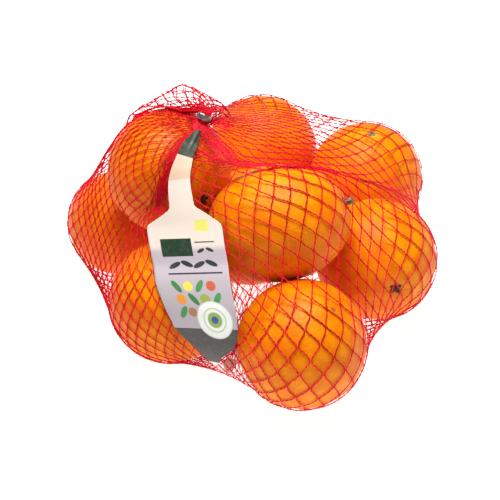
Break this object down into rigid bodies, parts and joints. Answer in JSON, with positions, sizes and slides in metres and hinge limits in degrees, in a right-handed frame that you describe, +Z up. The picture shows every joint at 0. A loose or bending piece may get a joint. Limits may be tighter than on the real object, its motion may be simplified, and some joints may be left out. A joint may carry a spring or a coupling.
{
  "type": "net of oranges",
  "caption": "Knitted red net bag of oranges, gathered and clipped at both ends, with a flared loose tail and a printed paper label band running clip to clip.",
  "frame": {"origin": "centre of the bounding box's underside, on the surface the net lies on", "axes": "+X to the right as the label faces you, +Y away from the label side towards the rearmost fruit, +Z up"},
  "size_m": [0.2342, 0.2636, 0.138],
  "materials": {
    "net": "crimson knitted plastic mesh over orange peel",
    "clip": "pale crimped metal clip",
    "label": "satin printed paper, cream and pale lavender with green and grey ends"
  },
  "bodies": {
    "root": {"net_of_oranges": "net", "top_tail": "net", "under_tail": "net", "top_clip": "clip", "under_clip": "clip", "label": "label"}
  },
  "joints": []
}
